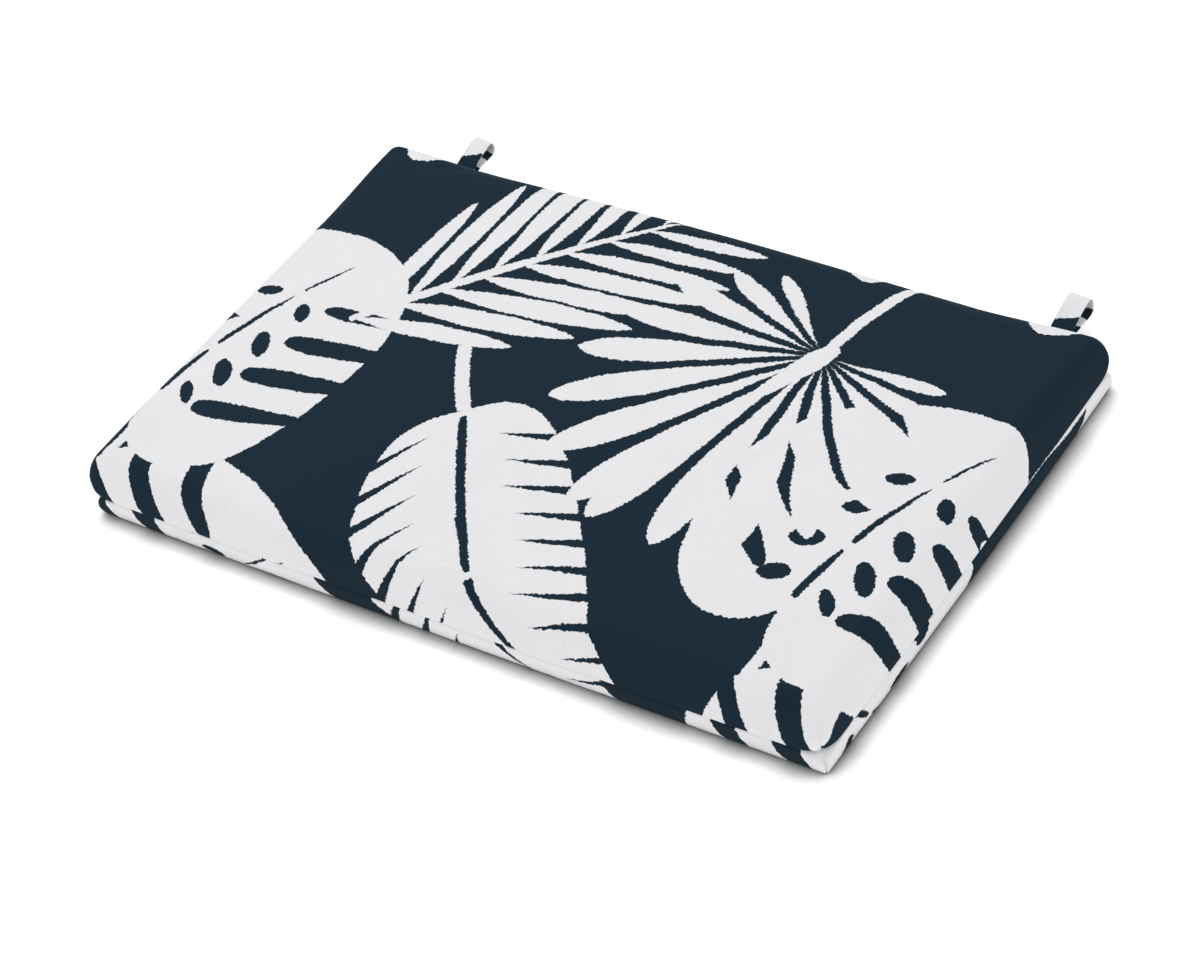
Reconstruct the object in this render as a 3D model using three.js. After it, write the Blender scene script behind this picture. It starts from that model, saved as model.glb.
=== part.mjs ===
// A box-edged cushion for a lounge chair, lying on its back, with two hanging loops in its back seam.
// Millimetres. The origin is the middle of the flat underside, +X runs along the long edge,
// +Y points to the back edge that holds the loops, and +Z is up.
import * as THREE from "three";

// The cushion: its plan is measured at the fullest place of its sides.
const WIDTH = 640;
const DEPTH = 404;
const SEAM_HEIGHT = 20.4;
const RIM_HEIGHT = 57.3;
const CROWN = 3.5;
const ROLL = 18.3;
const FOOT_INSET = 4.5;
const FOOT_CORNER = 9;
const SEAM_CORNER = 15;
const RIM_CORNER = 9;
const SIDE_BOW = 1.5;

// The seam that joins the top and bottom panels, and the short darts that box the corners.
const SEAM_DEPTH = 2.2;
const SEAM_HALF_WIDTH = 2.8;
const SEAM_CORNER_PULL = 4;
const DART_DEPTH = 1.4;
const DART_TOP = 50;
const DART_HALF_ANGLE = 5;

// How finely the cushion's surface is divided.
const CORNER_ANGLES = [0, 12, 24, 34, 45 - DART_HALF_ANGLE, 45, 45 + DART_HALF_ANGLE, 56, 66, 78, 90];
const SIDE_STEPS = 8;
const ROLL_STEPS = 9;
const CROWN_SCALES = [0.88, 0.72, 0.54, 0.36, 0.18];

// The loops: one flat strip each, folded back on itself, with both ends caught in the back seam.
const STRIP_WIDTH = 17.5;
const STRIP_THICKNESS = 2;
const TAIL_LENGTH = 9;
const ROOT_GAP = 0.45;
const CURVE_STEPS = 12;
const LOOPS = [
  { name: "loop_left", centre: -269.2, reach: 53, foldHeight: 12, foldMiddle: 25 },
  { name: "loop_right", centre: 267.3, reach: 52.2, foldHeight: 15, foldMiddle: 23 },
];

const printedCanvas = new THREE.MeshStandardMaterial({ color: 0x5d666f, roughness: 0.88, metalness: 0 });
const printedStrip = new THREE.MeshStandardMaterial({ color: 0xd9dadb, roughness: 0.88, metalness: 0 });

function mix(from, to, share) {
  return from + (to - from) * share;
}

function heading(degrees) {
  const angle = THREE.MathUtils.degToRad(degrees);
  return [Math.cos(angle), Math.sin(angle)];
}

// How far the middle of a side stands out past its ends; place runs from -1 to 1 along the side.
function sideBow(place) {
  return SIDE_BOW * (1 - place * place);
}

// One plan section, anticlockwise: four round corners, each with the nick of its dart,
// and after each corner the side that follows it, which bows out a little.
function planSection(inset, corner, dart) {
  const points = [];
  const halfWidth = WIDTH / 2 - inset - SIDE_BOW;
  const halfDepth = DEPTH / 2 - inset - SIDE_BOW;
  const quarters = [
    { x: 1, y: 1, half: halfWidth, away: halfDepth },
    { x: -1, y: 1, half: halfDepth, away: halfWidth },
    { x: -1, y: -1, half: halfWidth, away: halfDepth },
    { x: 1, y: -1, half: halfDepth, away: halfWidth },
  ];
  quarters.forEach((quarter, index) => {
    const turn = index * 90;
    const centre = [quarter.x * (halfWidth - corner), quarter.y * (halfDepth - corner)];
    for (const angle of CORNER_ANGLES) {
      const radius = angle === 45 ? corner - dart : corner;
      const [alongX, alongY] = heading(turn + angle);
      points.push([centre[0] + radius * alongX, centre[1] + radius * alongY]);
    }
    const [outX, outY] = heading(turn + 90);
    const [onX, onY] = heading(turn + 180);
    for (let step = 1; step < SIDE_STEPS; step++) {
      const place = mix(-1, 1, step / SIDE_STEPS);
      const away = quarter.away + sideBow(place);
      const along = place * (quarter.half - corner);
      points.push([outX * away + onX * along, outY * away + onY * along]);
    }
  });
  return points;
}

// The rows of the side's profile from the underside up: height, inset and corner radius.
function profileRows() {
  const lower = SEAM_HEIGHT - SEAM_HALF_WIDTH;
  const rows = [
    { height: 0, inset: FOOT_INSET, corner: FOOT_CORNER },
    { height: lower * 0.1, inset: FOOT_INSET * 0.78, corner: mix(FOOT_CORNER, SEAM_CORNER, 0.1) },
    { height: lower * 0.35, inset: FOOT_INSET * 0.45, corner: mix(FOOT_CORNER, SEAM_CORNER, 0.35) },
    { height: lower * 0.7, inset: FOOT_INSET * 0.2, corner: mix(FOOT_CORNER, SEAM_CORNER, 0.7) },
    { height: lower, inset: FOOT_INSET * 0.12, corner: SEAM_CORNER },
    { height: SEAM_HEIGHT, inset: SEAM_DEPTH, corner: SEAM_CORNER + SEAM_CORNER_PULL },
  ];
  const first = Math.asin(SEAM_HALF_WIDTH / (RIM_HEIGHT - SEAM_HEIGHT));
  for (let step = 0; step <= ROLL_STEPS; step++) {
    const angle = mix(first, Math.PI / 2, step / ROLL_STEPS);
    rows.push({
      height: SEAM_HEIGHT + (RIM_HEIGHT - SEAM_HEIGHT) * Math.sin(angle),
      inset: ROLL * (1 - Math.cos(angle)),
      corner: mix(SEAM_CORNER, RIM_CORNER, Math.sin(angle)),
    });
  }
  return rows;
}

function dartDepth(height) {
  const share = Math.min(1, Math.max(0, (DART_TOP - height) / (DART_TOP - SEAM_HEIGHT)));
  return DART_DEPTH * Math.sqrt(share);
}

// A closed body from rings of points with the same count, closed by a fan at either end.
function bodyFromRings(rings, bottomMiddle, topMiddle) {
  const count = rings[0].length;
  const positions = [...rings.flat(2), ...bottomMiddle, ...topMiddle];
  const bottom = rings.length * count;
  const top = bottom + 1;
  const index = [];
  for (let here = 0; here < count; here++) {
    const next = (here + 1) % count;
    for (let ring = 0; ring + 1 < rings.length; ring++) {
      const below = ring * count;
      const above = below + count;
      index.push(below + here, below + next, above + next);
      index.push(below + here, above + next, above + here);
    }
    const last = (rings.length - 1) * count;
    index.push(bottom, next, here);
    index.push(top, last + here, last + next);
  }
  const geometry = new THREE.BufferGeometry();
  geometry.setAttribute("position", new THREE.Float32BufferAttribute(positions, 3));
  geometry.setIndex(index);
  geometry.computeVertexNormals();
  return geometry;
}

// The filled cushion: one body with its side profile, seam, darts and low crown.
function makeCushion() {
  const rows = profileRows();
  const rings = rows.map((row) =>
    planSection(row.inset, row.corner, dartDepth(row.height)).map(([x, y]) => [x, y, row.height]),
  );
  const rim = rings[rings.length - 1];
  for (const scale of CROWN_SCALES) {
    const height = RIM_HEIGHT + CROWN * (1 - scale * scale);
    rings.push(rim.map(([x, y]) => [x * scale, y * scale, height]));
  }
  const cushion = new THREE.Mesh(
    bodyFromRings(rings, [0, 0, 0], [0, 0, RIM_HEIGHT + CROWN]),
    printedCanvas,
  );
  cushion.name = "cushion";
  return cushion;
}

// Where the strip's end stands in the seam's groove, at the loop's place along the back edge.
function rootOf(loop) {
  const groove = SEAM_DEPTH * (1 - STRIP_THICKNESS / SEAM_HALF_WIDTH);
  const place = loop.centre / (WIDTH / 2 - SEAM_CORNER);
  return DEPTH / 2 - SIDE_BOW + sideBow(place) - groove + ROOT_GAP;
}

// Both runs of the strip and its fold as an outline, on the strip's outer or inner face.
function foldOutline(outline, loop, start, spread, radius) {
  const middle = rootOf(loop) + loop.reach - loop.foldHeight / 2;
  const length = middle - start;
  const low = loop.foldMiddle - radius;
  const high = loop.foldMiddle + radius;
  outline.moveTo(start, SEAM_HEIGHT - spread);
  outline.bezierCurveTo(
    start + length * 0.35, mix(SEAM_HEIGHT - spread, low, 0.25),
    start + length * 0.7, low,
    middle, low,
  );
  outline.absarc(middle, loop.foldMiddle, radius, -Math.PI / 2, Math.PI / 2, false);
  outline.bezierCurveTo(
    start + length * 0.7, high,
    start + length * 0.35, mix(SEAM_HEIGHT + spread, high, 0.25),
    start, SEAM_HEIGHT + spread,
  );
}

// A loop: the teardrop outline of its folded strip, carried along X for the strip's width.
function makeLoop(loop) {
  const root = rootOf(loop);
  const outer = new THREE.Shape();
  const inner = new THREE.Path();
  foldOutline(outer, loop, root + TAIL_LENGTH, STRIP_THICKNESS, loop.foldHeight / 2);
  outer.lineTo(root, SEAM_HEIGHT + STRIP_THICKNESS);
  outer.lineTo(root, SEAM_HEIGHT - STRIP_THICKNESS);
  outer.closePath();
  foldOutline(inner, loop, root + TAIL_LENGTH + STRIP_THICKNESS, 0, loop.foldHeight / 2 - STRIP_THICKNESS);
  inner.closePath();
  outer.holes.push(inner);
  const geometry = new THREE.ExtrudeGeometry(outer, {
    depth: STRIP_WIDTH,
    bevelEnabled: false,
    curveSegments: CURVE_STEPS,
  });
  geometry.translate(0, 0, -STRIP_WIDTH / 2);
  geometry.applyMatrix4(
    new THREE.Matrix4().makeBasis(
      new THREE.Vector3(0, 1, 0),
      new THREE.Vector3(0, 0, 1),
      new THREE.Vector3(1, 0, 0),
    ),
  );
  const mesh = new THREE.Mesh(geometry, printedStrip);
  mesh.name = loop.name;
  mesh.position.x = loop.centre;
  return mesh;
}

const group = new THREE.Group();
group.add(makeCushion());
for (const loop of LOOPS) {
  group.add(makeLoop(loop));
}

export default group;
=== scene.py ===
# %% [markdown]
# # A printed lounge chair cushion
# This lesson dresses a plain solid cushion as sewn and printed canvas. The solid comes in as a
# fixed frame, and everything made here is in metres in that same frame: the middle of the flat
# underside is the origin, +X runs along the long edge, +Y points to the edge with the loops, and +Z
# is up. The frame is loaded first, so that every later size can be checked against it.

# %% Load the frame
import math

import bpy
import numpy as np
from mathutils import Matrix, Vector


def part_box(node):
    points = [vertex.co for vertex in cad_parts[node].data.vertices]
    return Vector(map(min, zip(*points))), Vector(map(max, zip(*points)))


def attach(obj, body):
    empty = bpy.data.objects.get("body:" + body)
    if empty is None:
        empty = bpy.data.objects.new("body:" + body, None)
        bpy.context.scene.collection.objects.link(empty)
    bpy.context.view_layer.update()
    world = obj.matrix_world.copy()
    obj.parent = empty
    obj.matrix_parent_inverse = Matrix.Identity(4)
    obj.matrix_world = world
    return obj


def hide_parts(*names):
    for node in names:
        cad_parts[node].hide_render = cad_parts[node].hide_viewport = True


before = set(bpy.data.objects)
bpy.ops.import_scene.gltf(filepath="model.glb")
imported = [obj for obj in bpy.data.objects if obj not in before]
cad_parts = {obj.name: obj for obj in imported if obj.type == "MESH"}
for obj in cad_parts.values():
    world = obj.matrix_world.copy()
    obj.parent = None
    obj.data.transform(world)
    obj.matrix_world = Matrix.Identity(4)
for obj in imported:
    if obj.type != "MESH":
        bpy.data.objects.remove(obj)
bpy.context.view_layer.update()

MM = 0.001
cushion_low, cushion_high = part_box("cushion")
size = cushion_high - cushion_low
print("cushion in the frame, mm:", [round(side / MM, 1) for side in size])

# %% [markdown]
# ## The camera
# A cushion this flat is shown well by a long lens from above one corner. A long lens keeps the far
# edge nearly as long as the near one, and a small roll sets the cushion on the slant that the
# photograph has. The camera is built from a turn, a height angle, a roll and a distance, because
# those are easier to read and to adjust than a matrix of numbers.

# %% Place the camera
TURN = 44.05
HEIGHT_ANGLE = 41.94
ROLL_ANGLE = -15.116
LENS = 94.587
DISTANCE = 2.2791
AIM_RIGHT = 0.0039
AIM_UP = -0.0204


def camera_axes(turn, height_angle, roll):
    """The camera's right, up and backward directions."""
    turn, height_angle = math.radians(turn), math.radians(height_angle)
    back = Vector((
        math.sin(turn) * math.cos(height_angle),
        -math.cos(turn) * math.cos(height_angle),
        math.sin(height_angle),
    ))
    level = Vector((math.cos(turn), math.sin(turn), 0))
    tilt = Matrix.Rotation(math.radians(roll), 3, back)
    return tilt @ level, tilt @ back.cross(level), back


right, up, back = camera_axes(TURN, HEIGHT_ANGLE, ROLL_ANGLE)
camera = bpy.data.objects.new("camera", bpy.data.cameras.new("camera"))
bpy.context.scene.collection.objects.link(camera)
camera.data.lens = LENS
camera.data.sensor_width = 36
stand = Matrix.Translation(right * AIM_RIGHT + up * AIM_UP + back * DISTANCE)
camera.matrix_world = stand @ Matrix((right, up, back)).transposed().to_4x4()
bpy.context.scene.camera = camera
print("camera stands at", [round(place, 3) for place in camera.matrix_world.translation])

# %% [markdown]
# ## Formulas for shaders
# The light, the floor and the cloth are all set by small formulas, and a formula is long when each
# of its nodes is made by hand. The class Term lets it be written like arithmetic: a sum or a
# product of two terms makes the math node and its links.

# %% Write shaders like arithmetic
def wire(socket, value):
    """Links a socket to a term or to another socket, or sets its value."""
    if isinstance(value, Term):
        value = value.socket
    if isinstance(value, bpy.types.NodeSocket):
        socket.id_data.links.new(value, socket)
    else:
        socket.default_value = value


class Term:
    """A number or a vector inside a shader. Arithmetic on numbers makes math nodes."""

    def __init__(self, socket):
        self.socket = socket

    def __add__(self, other):
        return calculate("ADD", self, other)

    def __sub__(self, other):
        return calculate("SUBTRACT", self, other)

    def __rsub__(self, other):
        return calculate("SUBTRACT", other, self)

    def __mul__(self, other):
        return calculate("MULTIPLY", self, other)

    def __truediv__(self, other):
        return calculate("DIVIDE", self, other)

    def __pow__(self, other):
        return calculate("POWER", self, other)

    def __abs__(self):
        return calculate("ABSOLUTE", self)


def fill(node, settings):
    """Links or sets several inputs of a node by name."""
    for name, value in settings.items():
        wire(node.inputs[name], value)


def node_from(kind, *values):
    """A node with its inputs in order, in the tree of the first term among them."""
    tree = next(value.socket.id_data for value in values if isinstance(value, Term))
    node = tree.nodes.new("ShaderNode" + kind)
    for socket, value in zip(node.inputs, values):
        wire(socket, value)
    return node


def calculate(operation, *values, clamp=False):
    """One math node."""
    node = node_from("Math", *values)
    node.operation = operation
    node.use_clamp = clamp
    return Term(node.outputs["Value"])


def between(term, low, high, start, end):
    """A term carried over from one range to another."""
    return Term(node_from("MapRange", term, low, high, start, end).outputs["Result"])


methods = [name.strip("_") for name, part in vars(Term).items() if callable(part)]
print("a term has the methods", methods)

# %% [markdown]
# ## The light
# A product picture on white has light from every side, so that the walls are nearly as bright as
# the top. A single lamp would leave the front dark. Here a bright world gives the even light, and a
# wide soft lamp high up adds a little from above. The world is dark below the horizon, where only a
# reflection that passes through the floor can look, so the walls shine less than the top does.

# %% Light the studio
WORLD_LIGHT = 0.84
HORIZON = (-0.04, -0.02)
KEY_PLACE = Vector((-0.5, 0.4, 2.6))
KEY_SIZE = 1.2
KEY_POWER = 16


def link(name, data):
    """A new object in the scene."""
    made = bpy.data.objects.new(name, data)
    bpy.context.scene.collection.objects.link(made)
    return made


world = bpy.data.worlds.new("studio")
world.use_nodes = True
sky = world.node_tree.nodes["Background"]
sky.inputs["Color"].default_value = (1, 1, 1, 1)
direction = Term(world.node_tree.nodes.new("ShaderNodeTexCoord").outputs["Generated"])
upward = Term(node_from("SeparateXYZ", direction).outputs["Z"])
wire(sky.inputs["Strength"], between(upward, *HORIZON, 0.0, WORLD_LIGHT))
bpy.context.scene.world = world
bpy.context.scene.view_settings.view_transform = "Standard"

key = link("key light", bpy.data.lights.new("key light", "AREA"))
key.data.size = KEY_SIZE
key.data.energy = KEY_POWER
key.location = KEY_PLACE
key.rotation_euler = (-KEY_PLACE).to_track_quat("-Z", "Y").to_euler()
print("key light is", round(KEY_PLACE.length, 2), "m away")

# %% [markdown]
# ## The floor
# The floor is burnt out to pure white, and only a thin dark line is left where the cushion meets
# it. In Blender a floor lit like this keeps a wide grey shadow. So the floor glows a little, which
# burns it out, and an Ambient Occlusion node with a short reach finds the places close under the
# cushion and paints a contact shadow into the floor's colour and glow there only.

# %% Lay the floor
FLOOR_DROP = 0.3 * MM
FLOOR_REACH = 60
FLOOR_WHITE = 0.93
FLOOR_GLOW = 0.31
CONTACT_REACH = 22 * MM
CONTACT_DARK = 0.08
CONTACT_SAMPLES = 8
CONTACT_RANGE = (0.3, 0.8)

corners = [(x * FLOOR_REACH, y * FLOOR_REACH) for x, y in ((-1, -1), (1, -1), (1, 1), (-1, 1))]
floor_mesh = bpy.data.meshes.new("floor")
floor_mesh.from_pydata([(x, y, -FLOOR_DROP) for x, y in corners], [], [(0, 1, 2, 3)])
floor = link("floor", floor_mesh)
floor.visible_glossy = False



def new_material(name):
    """A material, its nodes and its main shader."""
    material = bpy.data.materials.new(name)
    material.use_nodes = True
    nodes = material.node_tree.nodes
    return material, nodes, nodes["Principled BSDF"]


floor_paint, floor_nodes, floor_shader = new_material("white floor")
contact = floor_nodes.new("ShaderNodeAmbientOcclusion")
contact.samples = CONTACT_SAMPLES
contact.inputs["Distance"].default_value = CONTACT_REACH
# Painted contact shadow: the AO value darkens the floor's colour and glow close under the cushion.
open_sky = between(Term(contact.outputs["AO"]), *CONTACT_RANGE, CONTACT_DARK, 1.0)
fill(floor_shader, {
    "Base Color": open_sky * FLOOR_WHITE,
    "Emission Strength": open_sky * FLOOR_GLOW,
    "Emission Color": (1, 1, 1, 1),
    "Roughness": 0.9,
    "Specular IOR Level": 0.0,
})
floor_mesh.materials.append(floor_paint)
print("the floor is", 2 * FLOOR_REACH, "m wide")

# %% [markdown]
# ## The side profile of the cover
# The cover is two panels sewn together by one seam that runs round at about a third of the height.
# Below the seam the wall leans in a little to the foot. Above it the cloth rolls over the foam in a
# quarter of an ellipse. The seam pulls the cover in, most of all at the corners, where each panel
# has a short dart. One row of the cover is written for each height, close together near the seam,
# because a fold that narrow is lost on an even grid.

# %% Work out the rows of the profile
SEAM_HEIGHT = 20.4 * MM
CROWN = 3.5 * MM
RIM_HEIGHT = size.z - CROWN
ROLL_IN = 18.3 * MM
FOOT_INSET = 4.5 * MM
SIDE_BOW = 1.5 * MM
FOOT_EDGE = 1.2 * MM
FOOT_CORNER = 3 * MM
SEAM_CORNER = 26 * MM
SIDE_CORNER = 8 * MM
RIM_CORNER = 6 * MM
CORNER_FADE = 4.5 * MM
SEAM_DEPTH = 1.0 * MM
SEAM_REACH = 0.9 * MM
SEAM_POWER = 1.3
CORNER_POWER = 2.6
FOOT_POWER = 2.2
DART_DEPTH = 1.3 * MM
DART_TOP = 42 * MM
SEAM_ROWS = np.array((0.5, 1.1, 1.9, 3.1, 5.0)) * MM
WALL_SHARES = (0.0, 0.02, 0.06, 0.14, 0.26, 0.4, 0.56)
ROLL_ROWS = 13


def seam_dip(height):
    """How far the seam draws the cloth in at a height."""
    return SEAM_DEPTH * np.exp(-(np.abs(height - SEAM_HEIGHT) / SEAM_REACH) ** SEAM_POWER)


def corner_radius(height):
    """The plan radius of a corner: widest at the seam, close to square at the foot and the rim."""
    if height <= SEAM_HEIGHT:
        return FOOT_CORNER + (SEAM_CORNER - FOOT_CORNER) * (height / SEAM_HEIGHT) ** CORNER_POWER
    climb = (height - SEAM_HEIGHT) / (RIM_HEIGHT - SEAM_HEIGHT)
    settled = SIDE_CORNER + (RIM_CORNER - SIDE_CORNER) * climb
    return settled + (SEAM_CORNER - SIDE_CORNER) * math.exp(-(height - SEAM_HEIGHT) / CORNER_FADE)


def dart_depth(height):
    """How deep a corner's dart is: full below its end, then fading out."""
    share = min(1.0, max(0.0, (DART_TOP - height) / (DART_TOP - SEAM_HEIGHT)))
    return DART_DEPTH * math.sqrt(share)


def profile_rows():
    """Height and inset of each row, from the foot to the rim."""
    heights = [SEAM_HEIGHT * share for share in WALL_SHARES]
    heights += sorted(SEAM_HEIGHT - SEAM_ROWS) + [SEAM_HEIGHT] + list(SEAM_HEIGHT + SEAM_ROWS)
    rows = []
    for height in heights:
        below = max(0.0, 1 - height / SEAM_HEIGHT)
        rounding = FOOT_EDGE * max(0.0, 1 - height / FOOT_EDGE) ** 2
        rows.append((height, FOOT_INSET * below**FOOT_POWER + rounding + seam_dip(height)))
    first = math.asin(SEAM_ROWS[-1] / (RIM_HEIGHT - SEAM_HEIGHT))
    for step in range(1, ROLL_ROWS + 1):
        angle = first + (math.pi / 2 - first) * step / ROLL_ROWS
        rise = (RIM_HEIGHT - SEAM_HEIGHT) * math.sin(angle)
        rows.append((SEAM_HEIGHT + rise, ROLL_IN * (1 - math.cos(angle))))
    return rows


rows = profile_rows()
heights = np.array([row[0] for row in rows])
insets = np.array([row[1] for row in rows])
seam_row = int(np.argmin(np.abs(heights - SEAM_HEIGHT)))
print(len(rows), "rows, the seam is row", seam_row)

# %% [markdown]
# ## The rings of the cover
# Each row becomes a closed ring: four sides that bow out a little, joined by round corners. Every
# ring has the same number of points, so the rings join into a neat grid of four-sided faces. The
# middle point of each corner is pushed in by the dart. At the two back corners the foam fills the
# cover better, so the roll is tighter there.

# %% Make the rings
CORNER_STEPS = 6
LONG_STEPS = 150
SHORT_STEPS = 94
SIDES = (
    {"out": (0, -1), "along": (1, 0), "long": True, "back_end": 0},
    {"out": (1, 0), "along": (0, 1), "long": False, "back_end": 1},
    {"out": (0, 1), "along": (-1, 0), "long": True, "back_end": 0},
    {"out": (-1, 0), "along": (0, -1), "long": False, "back_end": -1},
)
FULL_CORNER = 0.42
FULL_REACH = 100 * MM


def side_columns(side):
    """For each point of a side: its corner angle, and its place along from -1 to 1."""
    steps = LONG_STEPS if side["long"] else SHORT_STEPS
    turn = np.linspace(math.pi / 4, 0, CORNER_STEPS + 1)[:-1]
    angle = np.concatenate((turn, np.zeros(steps + 1), turn[::-1]))
    place = np.concatenate((
        np.full(CORNER_STEPS, -1.0),
        np.linspace(-1, 1, steps + 1),
        np.full(CORNER_STEPS, 1.0),
    ))
    return angle, place


def smooth(share):
    """A soft step from 0 to 1."""
    share = np.clip(share, 0, 1)
    return share * share * (3 - 2 * share)


def half_sizes(side, height, inset):
    """Half a side's length and its distance from the middle, both fuller at the back corners."""
    place = side_columns(side)[1]
    half_length = (size.x if side["long"] else size.y) / 2
    at_back = place * side["back_end"] > 0 if side["back_end"] else side["out"][1] > 0
    near = smooth(1 - (1 - np.abs(place)) * half_length / FULL_REACH)
    inset = inset * (1 - FULL_CORNER * near * at_back * (height > SEAM_HEIGHT))
    half_width = size.x / 2 - inset - SIDE_BOW
    half_depth = size.y / 2 - inset - SIDE_BOW
    return (half_width, half_depth) if side["long"] else (half_depth, half_width)


def side_shape(side, height, inset):
    """The points of a side: along it, out from the middle, and the length of cloth along it."""
    half, away = half_sizes(side, height, inset)
    corner = corner_radius(height)
    angle, place = side_columns(side)
    radius = np.full(len(angle), corner)
    radius[[0, -1]] -= dart_depth(height)
    along = place * (half - corner) + np.sign(place) * radius * np.sin(angle)
    out = away - corner + radius * np.cos(angle) + SIDE_BOW * (1 - place**2)
    run = place * (half - corner) + np.sign(place) * corner * angle
    return along, out, run


def to_plan(side, along, out):
    """Turns a side's own directions into x and y."""
    return np.outer(along, side["along"]) + np.outer(out, side["out"])


rings = []
for height, inset in rows:
    shapes = [to_plan(side, *side_shape(side, height, inset)[:2])[:-1] for side in SIDES]
    plan = np.concatenate(shapes)
    rings.append(np.column_stack((plan, np.full(len(plan), height))))
ring_size = len(rings[0])
side_steps = [len(side_columns(side)[0]) - 1 for side in SIDES]
side_starts = [sum(side_steps[:index]) for index in range(len(SIDES))]
print("each ring has", ring_size, "points")

# %% [markdown]
# ## The top and the underside
# A fan of triangles would close the rings, but it bends badly in a cloth simulation. A patch that
# is stretched between the four sides of the ring gives even squares instead. It mixes the two pairs
# of facing sides and takes away what the corners count twice. The top patch then gets a low crown,
# and the corner at the back right sinks by a few millimetres, as foam that has been used does.

# %% Fill a ring with a patch
def ring_edges():
    """A ring's four sides, each left to right or front to back, as point numbers."""
    number = np.arange(ring_size + 1) % ring_size
    front, right_side, back_side, left_side = (
        number[start : start + steps + 1] for start, steps in zip(side_starts, side_steps)
    )
    return front, back_side[::-1], left_side[::-1], right_side


def patch(ring):
    """A grid of points between the four sides of a ring."""
    front, rear, left, right_side = (ring[edge] for edge in ring_edges())
    across = np.linspace(0, 1, len(front))[None, :, None]
    inward = np.linspace(0, 1, len(left))[:, None, None]
    sides = (1 - across) * left[:, None] + across * right_side[:, None]
    ends = (1 - inward) * front[None] + inward * rear[None]
    corners = (1 - inward) * ((1 - across) * front[0] + across * front[-1])
    corners = corners + inward * ((1 - across) * rear[0] + across * rear[-1])
    return sides + ends - corners


def patch_numbers(first_ring_point, first_new_point):
    """The point number of each place of a patch: its rim is the ring's, its inside is new."""
    front, rear, left, right_side = ring_edges()
    numbers = np.zeros((len(left), len(front)), int)
    inside = (len(left) - 2) * (len(front) - 2)
    numbers[1:-1, 1:-1] = first_new_point + np.arange(inside).reshape(len(left) - 2, -1)
    numbers[0] = first_ring_point + front
    numbers[-1] = first_ring_point + rear
    numbers[:, 0] = first_ring_point + left
    numbers[:, -1] = first_ring_point + right_side
    return numbers


SAG = 8 * MM
SAG_START = Vector((-0.06, 0.04))
SAG_REACH = Vector((0.38, 0.16))


def sag(places):
    """How far the top sinks at each place: nothing at the seam, most at the back right corner."""
    rise = np.clip((places[..., 2] - SEAM_HEIGHT) / (RIM_HEIGHT - SEAM_HEIGHT), 0, 1)
    across = smooth((places[..., 0] - SAG_START.x) / SAG_REACH.x)
    inward = smooth((places[..., 1] - SAG_START.y) / SAG_REACH.y)
    return SAG * rise * across * inward


underside = patch(rings[0])
top = patch(rings[-1])
rim_half = np.abs(rings[-1][:, :2]).max(axis=0)
lift = (1 - (top[..., 0] / rim_half[0]) ** 2) * (1 - (top[..., 1] / rim_half[1]) ** 2)
top[..., 2] += CROWN * np.clip(lift, 0, 1)
insides = [grid[1:-1, 1:-1].reshape(-1, 3) for grid in (underside, top)]
points = np.concatenate((*rings, *insides))
points[:, 2] -= sag(points)
ring_points = len(rings) * ring_size
under_numbers = patch_numbers(0, ring_points)
top_numbers = patch_numbers(ring_points - ring_size, ring_points + len(insides[0]))
print("the cover has", len(points), "points")

# %% [markdown]
# ## How the cloth was cut
# A print is made on flat cloth before the panels are cut, so it needs to know where each point of
# the cover was on the flat cloth. On top that is simply x and y. Down a wall the cloth goes on
# outwards by the length of the profile. At a corner the two walls would need the same piece of
# cloth, which is what a dart takes away: above the dart the print is eased round the corner, and
# below its end the two sides part. A UV map can hold this, as each face corner has its own value.

# %% Unroll the panels
PANEL_SHIFT = np.array((0.012, -0.446))
FOOT_EASE = 6 * MM


def profile_lengths(reference):
    """The length of cloth from a reference row to each other row."""
    step = np.hypot(np.diff(heights), np.diff(insets))
    length = np.concatenate(([0], np.cumsum(step)))
    return np.abs(length - length[reference])


def unroll(reference, parted):
    """For each row and side, where its points were on the flat cloth."""
    lengths = profile_lengths(reference)
    corner = corner_radius(heights[reference])
    unrolled = []
    for row, (height, inset) in enumerate(rows):
        of_row = []
        for side in SIDES:
            half, away = half_sizes(side, heights[reference], insets[reference])
            away = away + SIDE_BOW * (1 - side_columns(side)[1] ** 2)
            run = side_shape(side, height, inset)[2]
            past = np.maximum(np.abs(run) - (half - corner), 0)
            turn = math.pi / 4 * past / past.max()
            radius = corner + lengths[row]
            eased = np.sign(run) * (np.abs(run) - past + radius * np.sin(turn))
            share = parted[row]
            along = eased * (1 - share) + run * share
            out = away + lengths[row] - radius * (1 - np.cos(turn)) * (1 - share)
            of_row.append(to_plan(side, along, out))
        unrolled.append(of_row)
    return unrolled


def turn_over(cloth):
    """The underside's panel is cut from another place of the cloth."""
    return cloth * (1, -1) + PANEL_SHIFT


top_cloth = unroll(len(rows) - 1, smooth((DART_TOP - heights) / (DART_TOP - SEAM_HEIGHT)))
under_cloth = unroll(0, smooth(profile_lengths(0) / FOOT_EASE))
seam_distance = np.sign(heights - SEAM_HEIGHT) * profile_lengths(seam_row)
print("cloth over the roll, mm:", round(float(profile_lengths(len(rows) - 1)[seam_row]) / MM, 1))

# %% [markdown]
# ## Joining the faces
# A cover is usually unwrapped by hand, by marking its seams. Here the rows and columns are known,
# so each face is written down together with its places on the flat cloth, and nothing has to be
# unwrapped. A second map holds the distance from the seam, which the puckers need later.

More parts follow.
